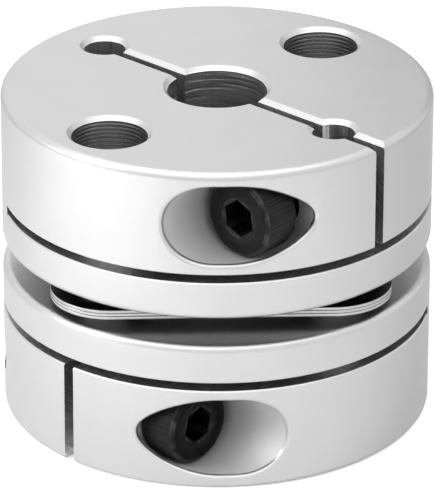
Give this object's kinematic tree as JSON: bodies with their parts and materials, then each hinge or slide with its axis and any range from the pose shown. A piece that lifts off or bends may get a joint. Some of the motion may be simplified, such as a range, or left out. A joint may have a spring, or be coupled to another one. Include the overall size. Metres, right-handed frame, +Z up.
{
  "type": "disc coupling",
  "caption": "Flexible shaft coupling: split clamp hubs with recessed cap screws, joined through a pack of thin spring discs held by rivets.",
  "frame": {"origin": "centre of the lower hub's outer face, on the shaft axis", "axes": "+Z up the shaft axis to the upper hub; the upper hub's slit opens towards +X and the lower hub's towards -Y"},
  "size_m": [0.039, 0.039, 0.0307],
  "materials": {
    "hub_aluminium": "satin, fine blasted and turned",
    "screw_black": "black oxide",
    "disc_steel": "rolled spring steel, satin",
    "rivet_steel": "turned steel",
    "ring_steel": "turned steel"
  },
  "bodies": {
    "root": {"lower_hub": "hub_aluminium", "upper_hub": "hub_aluminium", "lower_clamp_screw": "screw_black", "upper_clamp_screw": "screw_black", "spring_disc_1": "disc_steel", "spring_disc_2": "disc_steel", "spring_disc_3": "disc_steel", "lower_rivet_a": "rivet_steel", "lower_rivet_b": "rivet_steel", "lower_spacer_a": "ring_steel", "lower_spacer_b": "ring_steel", "lower_washer_a": "ring_steel", "lower_washer_b": "ring_steel", "upper_rivet_a": "rivet_steel", "upper_rivet_b": "rivet_steel", "upper_spacer_a": "ring_steel", "upper_spacer_b": "ring_steel", "upper_washer_a": "ring_steel", "upper_washer_b": "ring_steel"}
  },
  "joints": []
}
